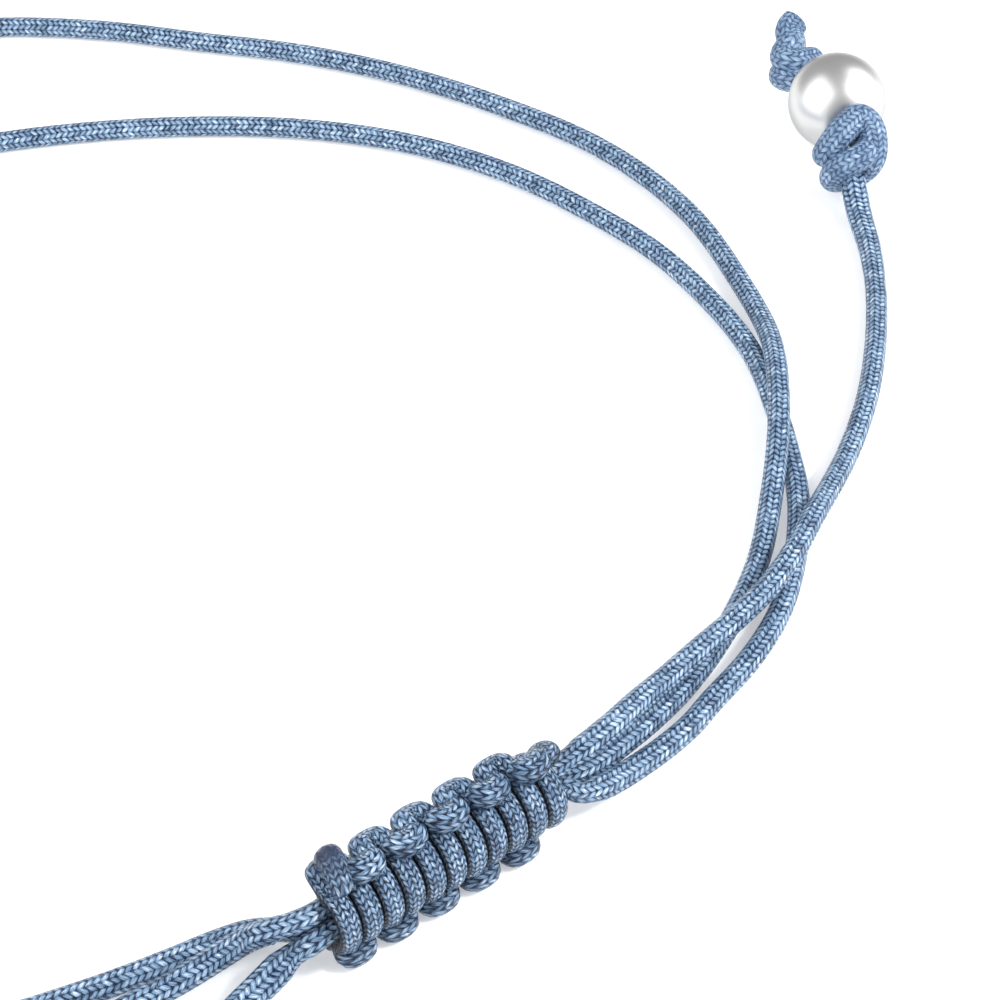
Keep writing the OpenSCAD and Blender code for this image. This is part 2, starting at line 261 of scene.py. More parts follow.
# %% [markdown]
# ## From a line to a skin
# A tube is a ring of points carried along the line. Every ring needs to know which way is up, or the
# tube would twist. A cord that lies on a table can use the sky as its up. Each corner of the mesh
# also stores its place on the braid as UV: U counts pitches along the cord and V goes round it from
# 0 to 12. The material reads these two numbers.

# %% Rings round a line
SIDES = 36


def upright(line):
    """Unit vectors square to the line, as near to straight up as they can be."""
    along = headings(line)
    return unit(UP - (along @ UP)[:, None] * along)


def length_left(line):
    """Millimetres of cord from each ring to the end of the line."""
    return np.linspace(line_length(line), 0, len(line))


def cord_rows(line, normals, half_thick, half_wide, relief):
    """Rings round a line: half_thick along the normal, half_wide beside it, and the braid's height
    added outward. Returns the grid, and the U and V of the braid."""
    along = headings(line)
    beside = np.cross(normals, along)
    gone = np.concatenate([[0], np.cumsum(np.linalg.norm(np.diff(line, axis=0), axis=1))])
    u = gone / BRAID_PITCH
    v = np.linspace(0, YARNS_EACH_WAY, SIDES + 1)
    angle = 2 * np.pi * v[:-1] / YARNS_EACH_WAY
    height = relief[:, None] * braid_height(u[:, None], v[None, :-1])
    thick = (half_thick[:, None] + height) * np.cos(angle)
    wide = (half_wide[:, None] + height) * np.sin(angle)
    rows = line[:, None] + thick[..., None] * normals[:, None] + wide[..., None] * beside[:, None]
    return rows, u, v


print("each ring has", SIDES, "points")


# %% A skin from a grid
def new_piece(name, mesh):
    """An object for a finished mesh, linked to the scene."""
    mesh.shade_smooth()
    piece = bpy.data.objects.new(name, mesh)
    bpy.context.scene.collection.objects.link(piece)
    return piece


def skin_mesh(name, rows, u, v, melted=None, painted_shade=None):
    """A closed mesh from a grid of points, rows by columns, whose columns join up into rings. The
    first and last rings are closed by one face each. u has a value for each row, and v one for each
    column and one more for the seam. melted is 1 where a row is a melted end, and the last argument
    is the share of painted shade, 1 where the skin is pressed against another cord and little light gets
    in."""
    n, m = rows.shape[:2]
    i, k = np.meshgrid(np.arange(n - 1), np.arange(m), indexing="ij")
    nxt = (k + 1) % m
    quads = np.stack([i * m + k, i * m + nxt, (i + 1) * m + nxt, (i + 1) * m + k], axis=2).reshape(-1, 4)
    mesh = bpy.data.meshes.new(name)
    caps = [list(range(m - 1, -1, -1)), list(range((n - 1) * m, n * m))]
    mesh.from_pydata((rows.reshape(-1, 3) * MM).tolist(), [], quads.tolist() + caps)
    quad_uv = np.stack([
        np.stack([u[i], v[k]], axis=2), np.stack([u[i], v[k + 1]], axis=2),
        np.stack([u[i + 1], v[k + 1]], axis=2), np.stack([u[i + 1], v[k]], axis=2)], axis=2)
    cap_uv = np.concatenate([
        np.stack([np.full(m, u[0]), v[:m][::-1]], axis=1), np.stack([np.full(m, u[-1]), v[:m]], axis=1)])
    uv = np.concatenate([quad_uv.reshape(-1, 2), cap_uv])
    mesh.uv_layers.new(name="braid").data.foreach_set("uv", uv.astype(np.float32).ravel())
    share = np.zeros(n) if melted is None else melted
    # Painted shade, stored for the material, where the skin presses on another cord.
    dark = np.zeros((n, m)) if painted_shade is None else painted_shade
    for label, values in (("melted", np.repeat(share, m)), ("painted_shade", dark.ravel())):
        layer = mesh.attributes.new(label, "FLOAT", "POINT")
        layer.data.foreach_set("value", values.astype(np.float32))
    return new_piece(name, mesh)


# %% [markdown]
# ## The four stretches of cord
# The one cord of the bracelet is drawn as two turns and two free ends. Inside the sliding knot it is
# squeezed thinner. Beside the knot it fans out a little flat, and towards the stopper knots the braid
# is pushed open and swells. A curve with a bevel has one section all along, so each stretch is a
# grid of rings whose two half sizes are worked out for every ring.

# %% Shares along a cord
# Millimetres from the middle of the sliding knot: along it for the squeeze, which counts only within
# SQUEEZE_WIDTH of its axis, and straight for the fan beside it, past MOUTH_PLACE along it.
SQUEEZE_FULL, SQUEEZE_END, SQUEEZE_WIDTH = 6.2, 7.2, 2.0
MOUTH_START, MOUTH_FULL, MOUTH_FADES, MOUTH_END = 5.2, 6.4, 8.0, 13.0
MOUTH_PLACE = 5.0


def rising(value, start, end):
    """0 up to start, 1 from end on, and even between."""
    return np.clip((value - start) / (end - start), 0, 1)


def squeeze_share(line):
    """1 where a line is squeezed in the sliding knot and 0 outside it. Over the last millimetre of
    the squeeze it is s (3 - 2 s), where s falls evenly from 1 to 0."""
    place = (line - KNOT_CENTRE) @ KNOT_ALONG
    far = np.linalg.norm(line - KNOT_CENTRE - place[:, None] * KNOT_ALONG, axis=1)
    share = (1 - rising(np.abs(place), SQUEEZE_FULL, SQUEEZE_END)) * (far < SQUEEZE_WIDTH)
    return share * (3 - 2 * share)


def mouth_share(line):
    """1 just outside the sliding knot, where the cords fan out flat, and 0 inside it and from 7 mm
    past its end on, eased both ways."""
    place = (line - KNOT_CENTRE) @ KNOT_ALONG
    far = np.linalg.norm(line - KNOT_CENTRE, axis=1)
    share = rising(far, MOUTH_START, MOUTH_FULL) * (1 - rising(far, MOUTH_FADES, MOUTH_END))
    return share**2 * (3 - 2 * share) * (np.abs(place) > MOUTH_PLACE)


squeezed_rings = {name: int((squeeze_share(line) > 0).sum()) for name, line in LINES.items()}
print("rings squeezed in the knot:", squeezed_rings)

# %% Skins of the four stretches
# RELIEF is the height of the braid's stitches, and RELIEF_INSIDE the share of it that lies within
# the cord's own radius. FLATTENED is the share by which a stretch widens beside the knot, and SWELL
# the share by which it swells over its last millimetres.
RELIEF, RELIEF_INSIDE = 0.035, 0.35
MOUTH_THINNER, SQUEEZED_SMOOTHER = 0.4, 0.3
SWELL_FULL, SWELL_START = 1.0, 7.0
FLATTENED = {"band_turn_a": 0.08, "band_turn_b": 0.08, "free_end_right": 0.1, "free_end_left": 0.3}
SWELL = {"band_turn_a": 0, "band_turn_b": 0, "free_end_right": 0.26, "free_end_left": 0.1}
cord_pieces = {}
for name, line in LINES.items():
    squeeze = squeeze_share(line)
    half = CORD_D / 2 + (SQUEEZED_D - CORD_D) / 2 * squeeze - RELIEF * RELIEF_INSIDE
    half = half * (1 + SWELL[name] * (1 - rising(length_left(line), SWELL_FULL, SWELL_START)))
    flat = FLATTENED[name] * mouth_share(line)
    rows, u, v = cord_rows(
        line, upright(line), half * (1 - MOUTH_THINNER * flat), half * (1 + flat),
        RELIEF * (1 - SQUEEZED_SMOOTHER * squeeze))
    piece = skin_mesh("braided_" + name, rows, u, v)
    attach(piece, "root")
    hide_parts(name)
    cord_pieces[name] = piece
    print(piece.name, len(piece.data.polygons), "faces")

# %% [markdown]
# ## The sliding knot
# Eleven half knots of a thinner, flatter cord grip the three strands. One long cord is folded in the
# middle behind the strands, and its two halves then take turns: one always crosses the front and the
# other the back. Where one half turns round at the knot's side, it lies over the other. To place all
# of that by hand would take hundreds of points, so the path of each half is one formula: an angle
# that swings to and fro while the cord steps along the knot.

# %% Path of the tying cord
# It lies LIE_R from the knot's axis and swings SWEEP degrees either way from the middle of its face.
# From RISE_FROM degrees on it rises, by RISE where it turns back. Its start behind the strands swings
# START_SWEEP and leans by START_SWAY of half a pitch, and the last passes lie nearer to the others.
LIE_GAP = 0.04
LIE_R = CORE_OFFSET + SQUEEZED_D / 2 + LIE_GAP + WRAP_THICK / 2
RISE, RISE_FROM, SWEEP, START_SWEEP = 0.6, 82.0, 110.0, 94.0
START_SWAY, LAST_BACK_IN, LAST_FRONT_IN = -0.5, 0.65, 0.35
LAST_BACK_FROM, LAST_BACK_FULL = -0.9, -0.3
BEND_POWER = 7
PASS_SAMPLES = 90


def turning_back(reach):
    """0 where a pass lies on the core, 1 where it has swung its whole way and turns back, eased."""
    over = rising(np.abs(reach), RISE_FROM, SWEEP)
    return over**2 * (3 - 2 * over)


def half_knot_path(first, side):
    """One half of the tying cord, from half knot number first to the last one, across the front of
    the knot where side is 1 and across its back where it is -1. In each pass the angle is the sweep
    times the sine of a quarter turn either way, which stops at both ends, and the step along the
    knot grows with the seventh power of the swing, so that the cord turns back in a round bend.
    Where the cord starts, behind the right end, it only goes round, and the last passes end where
    they lie, a little nearer to the others."""
    passes = np.arange(first, HALF_KNOTS)
    t = np.linspace(0, 1, PASS_SAMPLES, endpoint=False)
    j, t = (g.ravel() for g in np.meshgrid(passes, t, indexing="ij"))
    j, t = np.append(j, passes[-1]), np.append(t, 1.0)
    swing = 2 * t - 1
    way = np.where(j % 2 == 0, 1, -1) * side
    starting = (j < 0) | ((j == 0) & (swing < 0))
    last = j == HALF_KNOTS - 1
    reach = np.where(starting, START_SWEEP, SWEEP) * np.sin(np.pi / 2 * swing)
    sway = np.where(j < 0, 2 - START_SWAY, np.where(starting, -START_SWAY, np.sign(swing)))
    front_in = LAST_FRONT_IN * np.maximum(swing, 0)**2
    back_in = LAST_BACK_IN * rising(swing, LAST_BACK_FROM, LAST_BACK_FULL)
    inward = (front_in if side > 0 else back_in) * last
    leaning = np.abs(swing)**BEND_POWER * ~(last & (swing > 0))
    lean = -inward * (1 - leaning) + sway * HALF_PITCH / 2 * leaning
    place = ((HALF_KNOTS - 1) / 2 - j) * HALF_PITCH - lean
    angle = (0 if side > 0 else 180) - side * way * reach
    return in_knot(place, LIE_R + RISE * turning_back(reach) * ~starting, angle)


# %% Lines of the two halves
# The front half stops FRONT_CUT samples short of its last turn. The back half stops STUB_CUT samples
# short, and its melted stub then stands up: place along the knot, distance from its axis, degrees.
FRONT_CUT, STUB_CUT, EVERY = 14, 18, 3
STUB_TURN = np.array([
    (-4.60, 1.45, 78), (-4.60, 1.80, 65), (-4.52, 2.08, 77), (-4.42, 2.32, 91), (-4.40, 2.62, 103)])

front_line = smooth_line(half_knot_path(0, 1)[:-FRONT_CUT], RING_STEP)
back_path = half_knot_path(-1, -1)[:-STUB_CUT:EVERY]
back_line = smooth_line(np.vstack([back_path, in_knot(*STUB_TURN.T)]), RING_STEP)
print("rings of the two halves:", len(front_line), "and", len(back_line))


# %% [markdown]
# ## The tying cord's skin
# Pulled over the strands, the cord lies flat. Where its back half turns back nothing presses on it,
# and it swells into the thick bars along the knot's upper side. Its cut end is melted into a short,
# spreading stub. One section swept along the path couldn't change in that way, so we work out each
# ring's two half sizes from how far the cord has swung and how near it is to the stub.


# %% How the tying cord is turned
def away_from_axis(line):
    """Unit vectors square to the line that point away from the knot's axis."""
    rel = line - KNOT_CENTRE
    out = rel - (rel @ KNOT_ALONG)[:, None] * KNOT_ALONG
    along = headings(line)
    return unit(out - (out * along).sum(1, keepdims=True) * along)


def swung(line, side):
    """How far each point of a half has swung from the middle of its face of the knot, in degrees."""
    rel = line - KNOT_CENTRE
    return np.abs(np.degrees(np.arctan2(rel @ KNOT_SIDE, side * (rel @ KNOT_FRONT))))


def turned_with(line, last_mm):
    """Away from the axis, but over the last stretch square to the knot's length, so that the ring
    goes on turning with a cord that turns away from the knot."""
    normals = away_from_axis(line)
    along = headings(line)
    start = int(np.argmax(length_left(line) < last_mm))
    level = unit(np.cross(KNOT_ALONG, along[start:]))
    normals[start:] = level * np.sign(level[0] @ normals[start])
    return normals


def rounded_tip(to_tip, over):
    """Share of the full size near a tip: a quarter of a circle, over so many millimetres."""
    return np.sqrt(np.clip(1 - (1 - np.minimum(to_tip / over, 1))**2, 0, 1))


# %% Skin of the tying cord
# Half sizes of the flat cord where it lies on the core, what it gains where it turns back, what it
# loses before the stub, and the stub with its spread tip. The pairs are millimetres to the stub's
# tip, from where one form starts to where the next one is full. The flanks of a pass are pressed
# against the next one and get painted shade: SHADED gives the cosine to the outside where that
# painted shade is full and where it ends, and BEND_LIT the share of it which is lost where the cord
# turns back.
LYING_THICK, LYING_WIDE, TIP_LEAST, KNOT_RELIEF = 0.29, 0.455, 0.005, 0.006
BEND_THICKER, BEND_WIDER, NARROWER = 0.19, 0.07, 0.09
STUB_THICK, STUB_WIDE, TIP_SPREAD = 0.44, 0.48, 0.13
STUB, BENDS, NARROW_NEAR, NARROW_FAR = (0.9, 1.9), (3.6, 4.6), (1.9, 2.9), (5.5, 6.5)
SPREAD, MELTED, TIP_ROUND, STUB_TURNS = (0.1, 1.1), (0.5, 1.5), 0.5, 2.6
SHADED, BEND_LIT = (0.26, 0.76), 0.75

for name, line, side in (("front_half_of_knot", front_line, 1), ("back_half_of_knot", back_line, -1)):
    has_stub = side < 0
    to_tip = length_left(line) if has_stub else np.full(len(line), np.inf)
    bend = turning_back(swung(line, side))
    end, spread = 1 - rising(to_tip, *STUB), TIP_SPREAD * (1 - rising(to_tip, *SPREAD))
    opened = bend * rising(to_tip, *BENDS)
    narrow = rising(to_tip, *NARROW_NEAR) * (1 - rising(to_tip, *NARROW_FAR))
    thick = LYING_THICK + BEND_THICKER * opened * has_stub
    wide = LYING_WIDE + BEND_WIDER * opened - NARROWER * narrow
    thick = thick * (1 - end) + (STUB_THICK + spread) * end
    wide = wide * (1 - end) + (STUB_WIDE + spread) * end
    tip = rounded_tip(to_tip, TIP_ROUND)
    normals = turned_with(line, STUB_TURNS) if has_stub else away_from_axis(line)
    rows, u, v = cord_rows(
        line, normals, thick * tip + TIP_LEAST, wide * tip + TIP_LEAST, KNOT_RELIEF * tip)
    outward = np.cos(2 * np.pi * v[:-1] / YARNS_EACH_WAY)
    lit = (1 - BEND_LIT * bend) * (1 - end)
    # Painted shade on the flanks that press on the next pass, less where the cord turns back.
    painted_shade = (1 - rising(outward, *SHADED)) * lit[:, None]
    melted = 1 - rising(to_tip, *MELTED)
    piece = skin_mesh(name, rows, u * FINER_STITCHES, v * FINER_STITCHES, melted, painted_shade)
    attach(piece, "root")
    cord_pieces[name] = piece
    print(name, round(line_length(line), 1), "mm of cord,", len(piece.data.polygons), "faces")
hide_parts("slider_knot")

# %% [markdown]
# ## Stopper knots
# Each ball is held by an overhand knot on either side. The cord comes in low, goes round the outside
# over the top, passes behind itself and comes round once more before it enters the ball. A
# simulation could pull such a knot tight, but it would come out a little different each time. A short
# table gives the path instead, in millimetres along the cord, up, and beside it. Both inner knots
# follow one table and both outer knots the other.

# %% Overhand knots
#   along    up     beside
INNER_KNOT = np.array([
    (-0.58, -1.09, 0.00), (0.47, -0.83, -0.30), (0.52, -0.47, -1.00), (-0.10, -0.11, -1.30),
    (-0.11, 0.77, -0.85), (0.32, 1.26, -0.15), (0.60, 1.38, 0.35), (0.30, 1.15, 0.80),
    (-0.20, 0.65, 0.98), (-0.60, -0.10, 0.92), (-0.55, -0.95, 0.50), (-0.42, -1.40, -0.25),
    (-0.83, -1.07, -1.00), (-1.15, -0.38, -0.95), (-1.25, 0.18, -0.30), (-0.94, 0.30, 0.35),
    (0.06, 0.22, 0.70), (1.13, 0.06, 0.40)])
OUTER_KNOT = np.array([
    (-0.42, -0.02, 0.60), (-0.77, -0.11, -0.30), (-0.35, -0.09, -0.90), (0.44, -0.26, -0.80),
    (0.87, -0.38, 0.00), (0.50, -0.20, 0.80), (0.20, 0.25, 0.85), (-0.10, 0.55, 0.20),
    (-0.04, 0.65, -0.55), (0.55, 0.62, -0.60), (0.90, 0.85, -0.10)])
# Half thickness of the cord, which swells where a turn lies loose: in an inner knot by the share of
# the path gone, in an outer knot by the millimetres left to its tip.
INNER_HALVES = np.array([
    (0, 0.5), (0.1, 0.55), (0.3, 0.72), (0.45, 0.68), (0.6, 0.62), (0.9, 0.68), (1, 0.47)])
OUTER_HALVES = np.array([(0, 0.72), (2.5, 0.72), (4, 0.62), (9.5, 0.62), (10.5, 0.47)])
print("points of an inner and an outer knot:", len(INNER_KNOT), "and", len(OUTER_KNOT))


# %% Skin of a stopper knot
STOP_RELIEF, STOP_TIP, STOP_TIP_LEAST = 0.004, 0.3, 0.02


def placed(table, at, along):
    """A table's points, along a direction, up and beside it, moved to a place."""
    along = unit(np.asarray(along, float))
    up = unit(UP - (along @ UP) * along)
    return np.asarray(at) + table @ np.array([along, up, np.cross(along, up)])


def carried_normals(line):
    """A normal for each ring, upright at the first and carried along the line with no twist: each
    one is the one before, mirrored twice so that it follows the turn of the line."""
    along = headings(line)
    normals = np.empty_like(line)
    normals[0] = unit(UP - (UP @ along[0]) * along[0])
    for i in range(len(line) - 1):
        step = line[i + 1] - line[i]
        c = step @ step
        r = normals[i] - 2 / c * (step @ normals[i]) * step
        t = along[i] - 2 / c * (step @ along[i]) * step
        w = along[i + 1] - t
        normals[i + 1] = r - 2 / max(w @ w, 1e-12) * (w @ r) * w
    return normals


def stop_piece(name, node, line, half_at, melt_mm=0.0):
    """A braided skin round the line of a stopper knot, with a rounded, melted tip if it has one.
    half_at gives the half thickness for each millimetre left to the end of the line."""
    line = smooth_line(line, RING_STEP)
    left = length_left(line)
    tip, melted = np.ones(len(line)), None
    if melt_mm:
        tip = rounded_tip(left, STOP_TIP) * (1 - STOP_TIP_LEAST) + STOP_TIP_LEAST
        melted = 1 - rising(left, 0, melt_mm)
    half = half_at(left) * tip
    rows, u, v = cord_rows(line, carried_normals(line), half, half, STOP_RELIEF * tip)
    piece = skin_mesh(name, rows, u * FINER_STITCHES, v * FINER_STITCHES, melted)
    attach(piece, "root")
    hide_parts(node)
    return piece


def inner_half(left):
    """Half thickness along an inner knot, by the share of its path gone."""
    return np.interp(1 - left / left[0], *INNER_HALVES.T)


def outer_half(left):
    """Half thickness along an outer knot, by the millimetres left."""
    return np.interp(left, *OUTER_HALVES.T)


# %% Place the stopper knots
BALL_D, BORE_D = 4.8, 1.2
BALL_GAP, THREAD_PAST, TAIL_MELT = 0.05, 0.1, 0.25
#       side     ball                  bore                  inner knot           outer knot           tail
ENDS = {
    "right": ((39.1, 25.2, 2.4), (-0.34, 0.93, -0.14), (39.5, 21.3, 2.3), (37.5, 28.4, 2.1),
              [(37.2, 29.8, 2.7), (37.1, 30.5, 3.1), (37.6, 31.0, 3.5)]),
    "left": ((-26.4, -36.6, 2.4), (-0.92, 0.38, -0.06), (-22.7, -37.9, 2.3), (-29.6, -35, 2.1),
             [(-31, -34.3, 2.7), (-31.8, -34.4, 3.2), (-32.6, -34.9, 3.6)]),
}
knot_pieces = {}
for side, (ball, bore, inner, outer, tail) in ENDS.items():
    ball, inner, outer, bore = np.array(ball), np.array(inner), np.array(outer), unit(np.array(bore))
    free_end = LINES["free_end_" + side]
    cord_in = free_end[-1] + JOIN_GAP * headings(free_end)[-1]
    inner_line = np.vstack([
        cord_in, placed(INNER_KNOT, inner, ball - inner), ball - bore * (BALL_D / 2 + BALL_GAP)])
    outer_line = np.vstack([
        ball - bore * (BALL_D / 2 - THREAD_PAST), ball, ball + bore * (BALL_D / 2 + THREAD_PAST),
        placed(OUTER_KNOT, outer, outer - ball), tail])
    knot_pieces["inner_" + side] = stop_piece(
        "overhand_inner_" + side, "inner_stop_" + side, inner_line, inner_half)
    knot_pieces["outer_" + side] = stop_piece(
        "overhand_outer_" + side, "outer_stop_" + side, outer_line, outer_half, TAIL_MELT)
    print(side, "tail length", round(line_length(np.array(tail)), 1), "mm")

# %% [markdown]
# ## Balls
# A ball is a profile turned round its bore: up the outside of a sphere, over a small rounded lip and
# down through the hole. A Boolean cut would leave a sharp, uneven edge at the hole. We turn the
# profile in one go as a grid instead, with the profile along the rows.

# %% Drilled balls
BALL_TURNS, SPHERE_ROWS, LIP_ROWS = 96, 72, 6
LIP, LIP_FLAT = 0.12, 0.6


def ball_profile():
    """Radius and height of each row: the sphere from lip to lip, r sin(a) and r cos(a), then the
    bore's two lips, each a quarter of an ellipse."""
    r, hole = BALL_D / 2, BORE_D / 2
    edge = np.arcsin((hole + LIP) / r)
    sphere = np.linspace(edge, np.pi - edge, SPHERE_ROWS)
    quarter = np.linspace(0, np.pi / 2, LIP_ROWS)[1:]
    lip_r = hole + LIP * (1 - np.sin(quarter))
    lip_z = r * np.cos(edge) - LIP * LIP_FLAT * (1 - np.cos(quarter))
    radius = np.concatenate([r * np.sin(sphere), lip_r, lip_r[::-1]])
    return radius, np.concatenate([r * np.cos(sphere), -lip_z, lip_z[::-1]])


def drilled_ball(name, node, at, bore):
    """A closed grid: each row of the profile is carried round the bore's axis."""
    radius, height = ball_profile()
    along = unit(np.array(bore))
    out = unit(UP - (along @ UP) * along)
    turn = np.linspace(0, 2 * np.pi, BALL_TURNS, endpoint=False)[:, None]
    ring = np.cos(turn) * out + np.sin(turn) * np.cross(along, out)
    points = np.array(at) + height[:, None, None] * along + radius[:, None, None] * ring[None]
    i, k = np.meshgrid(np.arange(len(radius)), np.arange(BALL_TURNS), indexing="ij")
    below, beside = (i + 1) % len(radius), (k + 1) % BALL_TURNS
    quads = np.stack([
        i * BALL_TURNS + k, below * BALL_TURNS + k,
        below * BALL_TURNS + beside, i * BALL_TURNS + beside], axis=2)
    mesh = bpy.data.meshes.new(name)
    mesh.from_pydata((points.reshape(-1, 3) * MM).tolist(), [], quads.reshape(-1, 4).tolist())
    piece = new_piece(name, mesh)
    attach(piece, "root")
    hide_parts(node)
    return piece


balls = {}
for side, end in ENDS.items():
    balls[side] = drilled_ball("polished_ball_" + side, "bead_" + side, end[0], end[1])
print("faces of a ball:", len(balls["right"].data.polygons))

# %% [markdown]
# The two free ends are the only loose cords: the turns hold the bracelet's own shape. The cell
# below only looks up the line of each.

# %% Free cords
for side in ENDS:
    line = LINES["free_end_" + side]

# %% [markdown]
# ## Finishes
# The braid's material repeats the height formula in shader nodes, because a mesh fine enough for
# every filament would be far too heavy. The nodes sharpen the edges of the yarns, draw the
# filaments along each of them, and darken the grooves where little light gets in. We need a few
# helpers first, each of which adds one node and returns its output.


# %% Node helpers
def new_material(name):
    """A new material, its node tree and its principled shader."""
    material = bpy.data.materials.new(name)
    material.use_nodes = True
    tree = material.node_tree
    return material, tree, tree.nodes["Principled BSDF"]


def calc(tree, operation, a, b=None, c=None):
    """One Math node; each value is a number or another node's output."""
    node = tree.nodes.new("ShaderNodeMath")
    node.operation = operation
    for socket, value in zip(node.inputs, (a, b, c)):
        if value is None:
            continue
        if isinstance(value, (int, float)):
            socket.default_value = value
        else:
            tree.links.new(value, socket)
    return node.outputs[0]


def combined(tree, a, b, c):
    """A vector of three outputs."""
    node = tree.nodes.new("ShaderNodeCombineXYZ")
    for socket, value in zip(node.inputs, (a, b, c)):
        tree.links.new(value, socket)
    return node.outputs[0]


def noise(tree, places, scale, detail=2.0):
    """Soft noise between 0 and 1 at the given places."""
    node = tree.nodes.new("ShaderNodeTexNoise")
    node.inputs["Scale"].default_value = scale
    node.inputs["Detail"].default_value = detail
    tree.links.new(places, node.inputs["Vector"])
    return node.outputs[0]


def object_places(tree):
    """The place of each point of a piece, in metres."""
    return tree.nodes.new("ShaderNodeTexCoord").outputs["Object"]


# %% Colour helpers
def ramp(tree, value, stops):
    """A colour ramp from (place, colour) stops in linear light, of which the first two are its
    ends."""
    node = tree.nodes.new("ShaderNodeValToRGB")
    tree.links.new(value, node.inputs[0])
    band = node.color_ramp
    for k, (place, colour) in enumerate(stops):
        stop = band.elements[k] if k < 2 else band.elements.new(place)
        stop.position = place
        stop.color = (*colour, 1)
    return node.outputs[0]


def from_screen(r, g, b):
    """Linear light from a colour as a screen shows it, 0 to 255."""
    c = np.array([r, g, b]) / 255
    return tuple(np.where(c <= 0.04045, c / 12.92, ((c + 0.055) / 1.055)**2.4).tolist())


def stored(tree, name):
    """The value that a mesh stores under a name for each of its points."""
    node = tree.nodes.new("ShaderNodeAttribute")
    node.attribute_name = name
    return node.outputs["Fac"]


def blended(tree, share, first, last):
    """The first colour, another node's output, where the share is 0, and the last where it is 1."""
    node = tree.nodes.new("ShaderNodeMix")
    node.data_type = "RGBA"
    tree.links.new(share, node.inputs[0])
    tree.links.new(first, node.inputs[6])
    node.inputs[7].default_value = (*last, 1)
    return node.outputs[2]


print("mid grey in linear light:", round(from_screen(128, 128, 128)[0], 3))


# %% [markdown]
# ## The braid again, in nodes
# The skin's UV counts yarns, so a few Math nodes can tell at each place which yarn is on top, how
# high it stands and how far across it the place lies. A picture wrapped round the cord could show
# the same stitches, but it would blur in a close view.


# %% The braid in shader nodes
def yarn_nodes(tree, off, other, number, sign):
    """Height of one hand's yarns: the dome across each, and the wave along it."""
    edge = calc(tree, "POWER", calc(tree, "DIVIDE", off, YARN_HALF), 2.0)
    dome = calc(tree, "SQRT", calc(tree, "MAXIMUM", calc(tree, "SUBTRACT", 1.0, edge), 0.0))
    wave = calc(tree, "COSINE", calc(tree, "MULTIPLY", calc(tree, "ADD", other, number), WAVE_STEP))
    return calc(tree, "MULTIPLY_ADD", wave, sign * WAVE, dome)


def braid_nodes(tree):
    """The mesh's height formula again, from the UV of the skin. Gives by name the height, how far
    the upper yarn stands above the other, which hand's yarn is on top, the place across that yarn
    and along it, its number, and the place round the cord."""
    uv = tree.nodes.new("ShaderNodeUVMap")
    uv.uv_map = "braid"
    split = tree.nodes.new("ShaderNodeSeparateXYZ")
    tree.links.new(uv.outputs[0], split.inputs[0])
    along, around = split.outputs[0], split.outputs[1]
    x, y = calc(tree, "SUBTRACT", around, along), calc(tree, "ADD", around, along)
    right, left = calc(tree, "ROUND", x), calc(tree, "ROUND", y)
    off_x, off_y = calc(tree, "SUBTRACT", x, right), calc(tree, "SUBTRACT", y, left)
    over = yarn_nodes(tree, off_x, y, right, 1)
    under = yarn_nodes(tree, off_y, x, left, -1)
    on_right = calc(tree, "GREATER_THAN", over, under)
    on_left = calc(tree, "SUBTRACT", 1.0, on_right)

    def of_the_upper(if_right, if_left):
        return calc(tree, "MULTIPLY_ADD", on_right, if_right, calc(tree, "MULTIPLY", on_left, if_left))

    return {
        "height": calc(tree, "MAXIMUM", over, under), "on_right": on_right, "around": around,
        "above": calc(tree, "ABSOLUTE", calc(tree, "SUBTRACT", over, under)),
        "across": of_the_upper(off_x, off_y), "yarn_at": of_the_upper(y, x),
        "number": of_the_upper(right, left)}


# %% [markdown]
# ## Filaments, stitches and gaps
# Each yarn is a bundle of fine filaments that catch the light one by one. Modelled, they would be
# thousands of curves. Noise that is drawn out along the yarn gives the same streaks, in the bump and
# as painted glints in the colour. No two stitches have quite the same tone, and some seams between
# them stand open and get painted shade, so both are left to chance, in the same way on each run.

# %% Filaments, stitches and gaps
# The filaments' noise takes FILAMENTS steps across a yarn and ALONG_YARN steps for each crossing
# along it, with a seed for each yarn. The gaps' painted shade is deep where a second noise is high.
FILAMENTS, ALONG_YARN, SEED_OF_YARN, SEED_OF_HAND = 5.0, 0.9, 7.3, 31.0
GAP_SCALE, GAP_GAIN, GAP_SHIFT, GAP_LEAST, SEAM_SHARP = 2600.0, 6.0, -2.3, 0.12, 3.0


def filament_nodes(tree, braid):
    """Streaks along the yarn on top, from -0.5 to 0.5."""
    number = calc(tree, "MULTIPLY_ADD", braid["on_right"], SEED_OF_HAND, braid["number"])
    places = combined(
        tree, calc(tree, "MULTIPLY", braid["across"], FILAMENTS),
        calc(tree, "MULTIPLY", braid["yarn_at"], ALONG_YARN), calc(tree, "MULTIPLY", number, SEED_OF_YARN))
    return calc(tree, "SUBTRACT", noise(tree, places, 1.0), 0.5)


def stitch_nodes(tree, braid):
    """A random tone for each stitch, from -0.5 to 0.5."""
    places = combined(
        tree, braid["number"], calc(tree, "ROUND", braid["around"]), braid["on_right"])
    chance = tree.nodes.new("ShaderNodeTexWhiteNoise")
    tree.links.new(places, chance.inputs["Vector"])
    return calc(tree, "SUBTRACT", chance.outputs["Value"], 0.5)


def seam_shade_nodes(tree, braid):
    """1 on the face of a stitch, and less in the seams between stitches, down to 0 in a gap: a share that
    paints shade into seams and gaps.
    """
    depth = calc(
        tree, "MULTIPLY_ADD", noise(tree, object_places(tree), GAP_SCALE, 1.0), GAP_GAIN, GAP_SHIFT)
    depth = calc(tree, "MAXIMUM", calc(tree, "MINIMUM", depth, 1.0), GAP_LEAST)
    face = calc(tree, "MINIMUM", calc(tree, "MULTIPLY", braid["above"], SEAM_SHARP), 1.0)
    return calc(tree, "SUBTRACT", 1.0, calc(tree, "MULTIPLY", calc(tree, "SUBTRACT", 1.0, face), depth))
